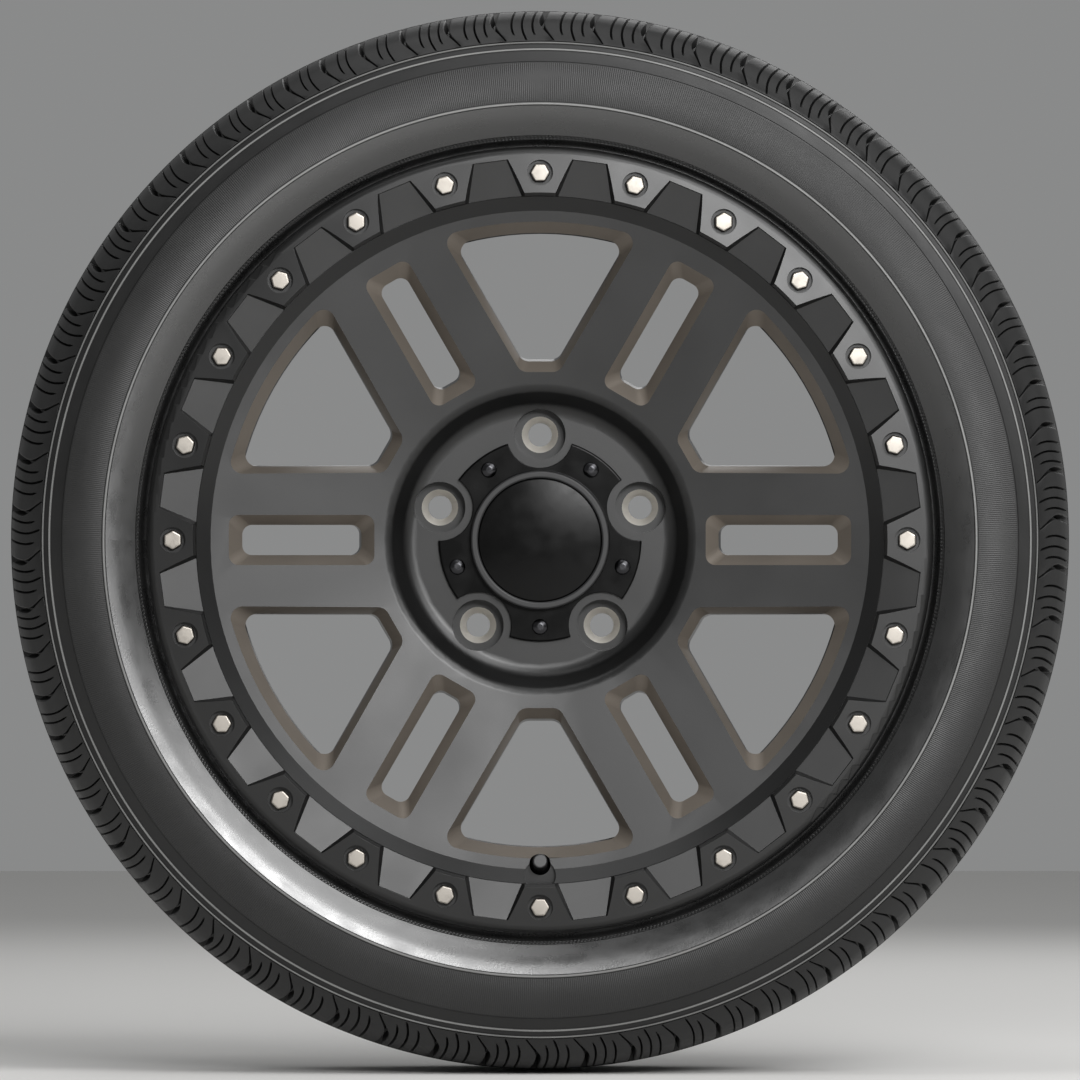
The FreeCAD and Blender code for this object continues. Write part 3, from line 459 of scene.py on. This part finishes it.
@dataclass(frozen=True)
class MouldedBlack:
    """Plain moulded black rubber or plastic with a fine matte grain."""

    name: str = "moulded_black_rubber"
    colour: str = "#1b1b1c"
    roughness: float = 0.55
    grain_size: float = 0.5

    def material(self) -> bpy.types.Material:
        """Build the moulding, with a fine grain in bump and sheen."""
        made, tree = new_material(self.name)
        place = add_node(tree, "ShaderNodeTexCoord").outputs["Object"]
        grain = add_node(tree, "ShaderNodeTexNoise", {
            "Vector": place, "Scale": 1 / (self.grain_size * MM), "Detail": 2.0}).outputs["Fac"]
        rough = add_node(tree, "ShaderNodeMapRange", {
            "Value": grain, "From Min": 0.3, "From Max": 0.7,
            "To Min": self.roughness - 0.06, "To Max": self.roughness + 0.06}).outputs[0]
        skin = add_node(tree, "ShaderNodeBump", {
            "Strength": 0.12, "Distance": 0.1 * MM, "Height": grain}).outputs[0]
        finish_shader(tree, {
            "Base Color": linear(self.colour), "Roughness": rough, "IOR": 1.5, "Normal": skin})
        return made


# Pieces


class WheelSlot(IntEnum):
    """The wheel's material slots."""

    COAT = 0
    MILLED = 1
    SEAT = 2


class PlateSlot(IntEnum):
    """The cap plate's material slots."""

    GLOSS = 0
    COLLAR = 1


@dataclass
class Tyre:
    """The tyre: a turned section whose shoulders carry slots, sipes and blocks of varied pitch."""

    crown: float = 352.35
    pitch_count: int = 70
    pitch_swing: float = 1.8
    pitch_waves: int = 4
    pitch_phase: float = 62.4
    slot_share: float = 0.17
    slot_depth: float = 7.5
    slot_chamfer: float = 0.7
    # Where a slot's rows lie across it and which of them sink, and the rows that each sipe takes
    slot_steps: tuple[float, ...] = (0.0, 0.16, 0.26, 0.74, 0.84, 1.0)
    slot_floor_rows: tuple[int, ...] = (2, 3)
    slot_lip_rows: tuple[int, ...] = (1, 4)
    sipe_rows: int = 4
    sipe_floor_row: int = 2
    sipe_share: float = 0.05
    sipe_depth: float = 3.6
    sipe_places: tuple[float, ...] = (0.36, 0.575, 0.79)
    sipe_feet: tuple[float, ...] = (336.0, 330.5, 336.0)
    groove_floor: float = 344.35
    carcass_rows: int = 288
    sharp_angle: float = 32.0
    # Where the shoulders and the ribs beside them begin and end, by depth and by radius
    shoulder_start: float = 60.0
    shoulder_foot: float = 330.0
    rib_ends: tuple[float, float] = (24.0, 51.2)
    rib_foot: float = 350.0
    rib_slot_start: float = 33.0
    rib_slot_width: float = 0.45
    rib_slot_depth: float = 4.5
    rib_lean_depths: tuple[float, float] = (24.0, 51.0)
    rib_leans: tuple[float, float] = (-0.47, -0.12)
    # A block is short, with one sipe less, where the wave of block lengths falls below this
    short_below: float = -0.2
    # The shoulder's slope in degrees, by depth
    slope_depths: tuple[float, ...] = (60.0, 80.0, 90.0, 96.0, 106.0)
    slopes: tuple[float, ...] = (4.0, 12.0, 30.0, 42.0, 48.0)
    # How slots and sipes wander round the tyre as they run down the shoulder, by radius
    path_radii: tuple[float, ...] = (329.4, 332.7, 337.4, 340.6, 343.0, 346.7, 350.5)
    slot_path: tuple[float, ...] = (-5.6, -3.3, 0.5, 2.6, 3.0, 1.9, 0.0)
    sipe_path: tuple[float, ...] = (-3.0, -1.6, 0.0, 0.2, 0.0, -1.1, -2.8)
    slot_widths: tuple[float, ...] = (0.34, 0.38, 0.46, 0.66, 0.92, 1.0, 1.0)
    slot_depths: tuple[float, ...] = (0.14, 0.24, 0.45, 0.66, 0.9, 1.0, 1.0)

    def band_section(self) -> list[tuple[float, float]]:
        """List the tread band's closed section: tread, shoulders and a hidden underside.

        Returns:
            Points of radius and depth, in millimetres.
        """
        outer = [
            (self.crown, 0.0), (self.crown, 8.0), (self.crown, 15.0), (self.crown - 0.5, 15.5),
            (self.groove_floor, 16.4), (self.groove_floor, 23.6), (self.crown - 0.5, 24.5), (352.2, 25.2),
            (351.9, 33.0), (351.5, 42.0), (351.1, 50.8), (350.3, 51.5), (self.groove_floor, 52.4),
            (self.groove_floor, 59.6), (350.2, 60.5), (350.5, 61.2),
            (349.9, 68.0), (349.0, 74.5), (347.9, 80.5), (346.6, 85.5), (345.0, 89.4), (343.6, 91.9),
            (341.3, 94.4), (338.6, 96.9), (336.2, 98.9), (333.8, 100.9), (331.6, 102.8), (330.2, 104.0),
            (329.7, 104.3), (327.2, 101.6), (335.5, 62.0),
        ]
        return outer + [(r, -a) for r, a in reversed(outer[1:])]

    def carcass_section(self) -> list[tuple[float, float]]:
        """List the carcass's closed section: under the tread, down a sidewall, round the bead and back.

        Returns:
            Points of radius and depth, in millimetres.
        """
        upper = [
            (341.0, 40.0), (337.0, 84.0), (328.0, 101.0), (329.4, 103.6), (329.0, 105.2), (328.5, 105.5),
            (328.0, 105.2), (327.6, 104.7), (325.2, 105.8),
            (324.9, 107.0), (324.5, 107.5), (323.7, 107.6), (323.2, 106.9), (320.0, 108.2), (316.2, 110.1),
            (315.6, 111.1), (312.0, 112.6), (306.0, 114.4), (300.0, 115.6), (294.0, 116.1), (289.4, 115.9),
        ]
        lower = [
            (288.9, 116.6), (288.4, 117.0), (287.6, 117.0), (287.1, 116.6), (286.7, 115.7), (281.0, 114.6),
            (274.0, 112.3), (267.3, 108.6), (266.9, 107.4), (265.3, 106.1), (264.7, 106.7), (263.4, 105.5),
            (263.0, 104.5), (261.4, 103.1), (260.3, 102.7), (253.5, 102.4), (251.2, 100.8), (247.0, 92.0),
            (239.0, 88.6), (235.4, 88.6), (228.6, 82.4), (227.6, 72.0),
        ]
        liner = [(246.0, 72.4), (270.0, 96.0), (292.0, 108.5), (318.0, 103.0), (330.0, 95.5), (336.0, 78.0),
                 (336.4, 40.0)]
        side = upper + lower + liner
        return side + [(r, -a) for r, a in reversed(side)]

    def share_steps(self) -> list[float]:
        """List where one pitch is divided, as shares of its length from 0 up to 1."""
        slot = self.slot_share
        steps = [step * slot for step in self.slot_steps]
        previous = slot
        for place in self.sipe_places:
            half = self.sipe_share / 2
            steps += [(previous + place) / 2, place - half, place, place + half]
            previous = place + half
        return steps + [(previous + 1) / 2]

    def pitch_angle(self, place: np.ndarray) -> np.ndarray:
        """Turn a place counted in pitches into an angle, so that block lengths vary round the tyre."""
        even = place * 360 / self.pitch_count
        return even + self.pitch_swing * np.sin(np.radians(even * self.pitch_waves + self.pitch_phase))

    def build(self, rubber: bpy.types.Material) -> None:
        """Spin the carcass and the tread band, then press the pattern into the band.

        Args:
            rubber: the tyre's material.
        """
        shares = self.share_steps()
        rows = self.pitch_count * len(shares)
        carcass = self.spin("tyre_carcass", self.carcass_section(), self.carcass_rows)
        band = self.spin("tyre_tread", self.band_section(), rows)
        self.press_pattern(band, shares, rows)
        for piece in (carcass, band):
            piece.data.materials.append(rubber)
            smooth_by_angle(piece, self.sharp_angle)
            settle(piece, "tyre", BODY, "tyre")

    def spin(self, name: str, section: list[tuple[float, float]], rows: int) -> bpy.types.Object:
        """Spin a closed section about the axle.

        Args:
            name: the piece's name.
            section: points of radius and depth, in millimetres.
            rows: how many steps the turn takes.

        Returns:
            The turned piece.
        """
        deselect_all()
        bpy.ops.mesh.primitive_circle_add(vertices=len(section), radius=1.0)
        piece = bpy.context.object
        piece.name = name
        for vertex, (radius, depth) in zip(piece.data.vertices, section):
            vertex.co = (radius * MM, -depth * MM, 0.0)
        bpy.ops.object.mode_set(mode="EDIT")
        bpy.ops.mesh.select_all(action="SELECT")
        bpy.ops.mesh.spin(
            steps=rows, angle=2 * math.pi, center=(0, 0, 0), axis=(0, 1, 0), use_auto_merge=True)
        bpy.ops.mesh.normals_make_consistent(inside=False)
        bpy.ops.object.mode_set(mode="OBJECT")
        return piece

    def press_pattern(self, piece: bpy.types.Object, shares: list[float], steps: int) -> None:
        """Move the spun rows to their places and sink those of slots and sipes.

        Args:
            piece: the spun tyre.
            shares: where one pitch is divided.
            steps: how many rows the spin made.
        """
        places = vertex_table(piece)
        radius = np.hypot(places[:, 0], places[:, 2])
        depth = -places[:, 1]
        reach = np.abs(depth)
        angle = np.degrees(np.arctan2(places[:, 2], places[:, 0])) % 360
        row = np.rint(angle * steps / 360).astype(int) % steps
        pitch, index = np.divmod(row, len(shares))
        share = np.array(shares)[index]
        shoulder = (reach > self.shoulder_start) & (radius > self.shoulder_foot)
        rib_start, rib_end = self.rib_ends
        rib = (reach > rib_start) & (reach < rib_end) & (radius > self.rib_foot)
        # A slot narrows as it runs down the shoulder, and bends back below the tread's edge
        slot_end = len(self.slot_steps)
        slot_rows = index < slot_end
        middle = self.slot_share / 2
        width = np.where(rib, self.rib_slot_width, np.interp(radius, self.path_radii, self.slot_widths))
        share = np.where(slot_rows & (shoulder | rib), middle + (share - middle) * width, share)
        slot_lean = np.interp(radius, self.path_radii, self.slot_path)
        sipe_lean = np.interp(radius, self.path_radii, self.sipe_path)
        beside = (index == slot_end) | (index == len(shares) - 1)
        lean = np.where(slot_rows, slot_lean, np.where(beside, (slot_lean + sipe_lean) / 2, sipe_lean))
        lean = np.where(shoulder, lean, 0.0) / (2 * math.pi * self.crown / self.pitch_count)
        lean = np.where(rib, np.interp(reach, self.rib_lean_depths, self.rib_leans), lean)
        shift = np.where(depth < 0, 0.5, 0.0)
        turned = np.radians(self.pitch_angle(pitch + share + lean * np.sign(depth) + shift))
        # Slots and sipes are pressed along the shoulder's own normal; short blocks have one sipe less
        fade = np.interp(radius, self.path_radii, self.slot_depths)
        slot_floor = np.isin(index, self.slot_floor_rows)
        slot_lip = np.isin(index, self.slot_lip_rows)
        sunk = np.where(shoulder & slot_floor, self.slot_depth * fade, 0.0)
        sunk = np.where(shoulder & slot_lip, self.slot_chamfer * fade, sunk)
        rib_slot = rib & slot_floor & (reach > self.rib_slot_start)
        sunk = np.where(rib_slot, self.rib_slot_depth, sunk)
        wave = np.radians(pitch * 360 / self.pitch_count * self.pitch_waves + self.pitch_phase)
        short = np.cos(wave) < self.short_below
        for number, foot in enumerate(self.sipe_feet):
            sipe_floor = slot_end + self.sipe_rows * number + self.sipe_floor_row
            cut = (index == sipe_floor) & (rib | (shoulder & (radius > foot)))
            if number == 0:
                cut &= ~short
            sunk = np.where(cut, self.sipe_depth, sunk)
        slope = np.radians(np.interp(reach, self.slope_depths, self.slopes))
        radius = radius - sunk * np.cos(slope)
        depth = depth - np.sign(depth) * sunk * np.sin(slope)
        moved = np.stack([radius * np.cos(turned), -depth, radius * np.sin(turned)], axis=1) * MM
        piece.data.vertices.foreach_set("co", moved.ravel())
        # The sunk depth is kept for the rubber, which turns it into painted shade in the slots and sipes
        pressed = piece.data.attributes.new("pressed", "FLOAT", "POINT")
        pressed.data.foreach_set("value", np.clip(sunk / self.sipe_depth, 0, 1))
        piece.data.update()


@dataclass
class CastPiece:
    """A rigid piece: the frame's own form, with merged faces and rounded edges."""

    node: str
    slot: str
    edge_radius: float
    edge_steps: int = 3
    sharp_angle: float = 24.0
    body: str = BODY
    weld_gap: float = 0.005
    flat_angle: float = 0.6
    shade_angle: float = 30.0

    def build(self, *materials: bpy.types.Material) -> bpy.types.Object:
        """Copy the node's form, join its triangles into faces and round its edges.

        Args:
            *materials: the piece's material slots, in order.

        Returns:
            The rounded piece.
        """
        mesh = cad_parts[self.node].data.copy()
        mesh.materials.clear()
        piece = bpy.data.objects.new(self.node + "_dressed", mesh)
        bpy.context.scene.collection.objects.link(piece)
        make_active(piece)
        bpy.ops.object.mode_set(mode="EDIT")
        bpy.ops.mesh.select_all(action="SELECT")
        bpy.ops.mesh.remove_doubles(threshold=self.weld_gap * MM)
        bpy.ops.mesh.customdata_custom_splitnormals_clear()
        bpy.ops.mesh.dissolve_limited(angle_limit=math.radians(self.flat_angle))
        bpy.ops.object.mode_set(mode="OBJECT")
        for material in materials:
            piece.data.materials.append(material)
        self.round_edges(piece)
        smooth_by_angle(piece, self.shade_angle)
        apply_modifier(piece, "WEIGHTED_NORMAL", mode="FACE_AREA", weight=100, keep_sharp=True)
        settle(piece, self.slot, self.body, self.node)
        return piece

    def round_edges(self, piece: bpy.types.Object) -> None:
        """Round every edge that is sharper than the piece's angle."""
        apply_modifier(
            piece, "BEVEL", width=self.edge_radius * MM, segments=self.edge_steps, limit_method="ANGLE",
            angle_limit=math.radians(self.sharp_angle), miter_outer="MITER_ARC", use_clamp_overlap=True)


@dataclass
class BoltSet(CastPiece):
    """A ring of hex bolts whose worn heads are rounded, and whose shanks stay as they are."""

    bolt_circle: float = 242.5
    bolt_count: int = 24
    shank_radius: float = 5.0

    def round_edges(self, piece: bpy.types.Object) -> None:
        """Round the heads' edges alone."""
        places = vertex_table(piece)
        turn = np.arctan2(places[:, 2], places[:, 0])
        step = 2 * math.pi / self.bolt_count
        turn = np.rint(turn / step) * step
        across = np.hypot(places[:, 0] - self.bolt_circle * np.cos(turn),
                          places[:, 2] - self.bolt_circle * np.sin(turn))
        heads = piece.vertex_groups.new(name="heads")
        heads.add(np.flatnonzero(across > self.shank_radius).tolist(), 1.0, "REPLACE")
        apply_modifier(
            piece, "BEVEL", width=self.edge_radius * MM, segments=self.edge_steps, limit_method="VGROUP",
            vertex_group=heads.name, miter_outer="MITER_ARC", use_clamp_overlap=True)
        piece.vertex_groups.clear()


@dataclass
class Wheel:
    """The cast wheel, its ring, bolts and centre cap."""

    face_depth: float = 98.0
    face_dish: float = 12.5
    bevel_depth: float = 11.8
    hub_lip: float = 99.7
    band_inner: float = 217.6
    lug_circle: float = 69.85
    lug_seat: float = 12.9
    seat_top: float = 53.0
    seat_foot: float = 40.0
    lug_count: int = 5
    collar_top: float = 83.5
    collar_rim: float = 0.8
    collar_facing: float = 0.5
    bevel_start: float = 0.9
    hub_margin: float = 5.0
    band_margin: float = 4.0
    bevel_facing: tuple[float, float] = (0.25, 0.85)

    def build(self) -> None:
        """Make the wheel and everything bolted to it."""
        coat = SatinPaint().material()
        milled = SatinPaint(
            "bronze_milled_alloy", "#6f6860", metallic=0.5, roughness=0.42, grit=1.2, relief=0.1).material()
        seat = TurnedMetal("machined_aluminium", "#d8d4cc", roughness=0.45, metallic=0.5).material()
        ring_coat = SatinPaint("ring_powder_coat", "#0e0e0e", roughness=0.36, relief=0.1).material()
        bolt = TurnedMetal("zinc_plated_steel", "#99948d", roughness=0.38, mark_spacing=0.8).material()
        gloss = GlossBlack().material()
        collar = GlossBlack("satin_black_abs", "#1e1e1f", roughness=0.4, sheen=0.4).material()
        screw = TurnedMetal("black_chromed_steel", "#3c3c3e", roughness=0.24, mark_spacing=0.8).material()
        disc = CastPiece("wheel", "alloy", edge_radius=1.1).build(coat, milled, seat)
        self.paint_wheel(disc)
        plate = CastPiece("cap_flange", "cap_plastic", edge_radius=0.6).build(gloss, collar)
        centres, normals = face_table(plate)
        on_collar = -centres[:, 1] > self.collar_top - self.collar_rim
        paint_faces(plate, on_collar & (-normals[:, 1] > self.collar_facing), PlateSlot.COLLAR)
        CastPiece("rim_ring", "ring_alloy", edge_radius=0.8).build(ring_coat)
        BoltSet("ring_bolts", "bolt_steel", edge_radius=1.5, edge_steps=4).build(bolt)
        CastPiece("cap_disc", "cap_plastic", edge_radius=0.8).build(gloss)
        CastPiece("cap_screws", "screw_steel", edge_radius=1.0, edge_steps=4).build(screw)

    def paint_wheel(self, disc: bpy.types.Object) -> None:
        """Give the openings' bevels and the lug seats their bare metal.

        Args:
            disc: the cast wheel.
        """
        centres, normals = face_table(disc)
        radius = np.hypot(centres[:, 0], centres[:, 2])
        depth = -centres[:, 1]
        facing = -normals[:, 1]
        inwards = (self.band_inner - radius) / (self.band_inner - self.hub_lip)
        below = self.face_depth - self.face_dish * inwards - depth
        bevel = (below > self.bevel_start) & (below < self.bevel_depth)
        bevel &= (radius > self.hub_lip + self.hub_margin) & (radius < self.band_inner - self.band_margin)
        least, most = self.bevel_facing
        bevel &= (facing > least) & (facing < most)
        paint_faces(disc, bevel, WheelSlot.MILLED)
        places = vertex_table(disc)
        for step in range(self.lug_count):
            turn = math.radians(90 + 360 * step / self.lug_count)
            across = np.hypot(places[:, 0] - self.lug_circle * math.cos(turn),
                              places[:, 2] - self.lug_circle * math.sin(turn))
            near = face_peaks(disc, across) < self.lug_seat
            paint_faces(disc, near & (depth < self.seat_top) & (depth > self.seat_foot), WheelSlot.SEAT)


@dataclass
class Valve:
    """The snap-in valve at the bottom of the rim."""

    def build(self) -> None:
        """Dress the valve's own pieces."""
        rubber = MouldedBlack().material()
        plastic = MouldedBlack("moulded_black_plastic", "#151516", roughness=0.4).material()
        brass = TurnedMetal("turned_brass", "#c9a45a", mark_spacing=0.5).material()
        CastPiece("valve_body", "valve_rubber", edge_radius=0.4, edge_steps=2).build(rubber)
        CastPiece("valve_tube", "valve_brass", edge_radius=0.15, edge_steps=2).build(brass)
        CastPiece("valve_core", "valve_brass", edge_radius=0.1, edge_steps=1).build(brass)
        CastPiece("valve_pin", "valve_brass", edge_radius=0.08, edge_steps=1, body="valve_pin").build(brass)
        CastPiece(
            "valve_cap", "valve_cap_plastic", edge_radius=0.3, edge_steps=2, body="valve_cap").build(plastic)


# Studio


@dataclass
class Studio:
    """A pale floor in an even room, soft lamps and the camera, square to the wheel's face."""

    floor_height: float = -0.3535
    distance: float = 10.0
    frame_width: float = 0.7165
    outline_depth: float = 0.06
    sensor_width: float = 36.0
    floor_size: float = 12.0
    floor_colour: str = "#dcdbd9"
    fibre_size: float = 3.0
    room_colour: str = "#eceded"
    room_light: float = 0.3

    def build(self) -> None:
        """Set the stage, the light and the camera."""
        self.lay_floor()
        self.light()
        self.aim_camera()
        bpy.context.scene.view_settings.view_transform = "Standard"

    def lay_floor(self) -> None:
        """Make the floor that the tyre stands on."""
        deselect_all()
        bpy.ops.mesh.primitive_plane_add(size=self.floor_size, location=(0, 0, self.floor_height))
        floor = bpy.context.object
        floor.name = "studio_floor"
        made, tree = new_material("pale_studio_paper")
        place = add_node(tree, "ShaderNodeTexCoord").outputs["Object"]
        fibre = add_node(tree, "ShaderNodeTexNoise", {
            "Vector": place, "Scale": 1 / (self.fibre_size * MM)}).outputs["Fac"]
        rough = add_node(tree, "ShaderNodeMapRange", {
            "Value": fibre, "To Min": 0.78, "To Max": 0.92}).outputs[0]
        finish_shader(tree, {"Base Color": linear(self.floor_colour), "Roughness": rough})
        floor.data.materials.append(made)

    def light(self) -> None:
        """Hang four soft lamps in an even pale room."""
        scene = bpy.context.scene
        room = bpy.data.worlds.new("pale_room")
        scene.world = room
        room.use_nodes = True
        room.node_tree.nodes.clear()
        back = add_node(room.node_tree, "ShaderNodeBackground", {
            "Color": linear(self.room_colour), "Strength": self.room_light})
        add_node(room.node_tree, "ShaderNodeOutputWorld", {"Surface": back.outputs[0]})
        lamps = (
            ("key_softbox", (1.45, -2.4, 1.95), 2.4, 90.0),
            ("near_softbox", (0.6, -3.4, 0.85), 0.9, 60.0),
            ("top_softbox", (-0.4, -0.6, 2.6), 1.6, 12.0),
            ("back_softbox", (0.6, 2.6, 1.6), 1.8, 18.0),
        )
        for name, place, size, power in lamps:
            deselect_all()
            bpy.ops.object.light_add(type="AREA", location=place)
            lamp = bpy.context.object
            lamp.name = name
            lamp.data.size = size
            lamp.data.energy = power
            lamp.rotation_euler = (-Vector(place)).to_track_quat("-Z", "Y").to_euler()

    def aim_camera(self) -> None:
        """Stand the camera on the axle line, so that the tyre fills the picture."""
        deselect_all()
        bpy.ops.object.camera_add(location=(0, -self.distance, 0), rotation=(math.radians(90), 0, 0))
        camera = bpy.context.object
        camera.data.sensor_width = self.sensor_width
        camera.data.lens = self.sensor_width * (self.distance - self.outline_depth) / self.frame_width
        bpy.context.scene.camera = camera


def main() -> None:
    """Build the studio, then each sub-assembly in order."""
    logging.basicConfig(level=logging.INFO)
    Studio().build()
    Tyre().build(TyreRubber().material())
    Wheel().build()
    Valve().build()


if __name__ == "__main__":
    main()
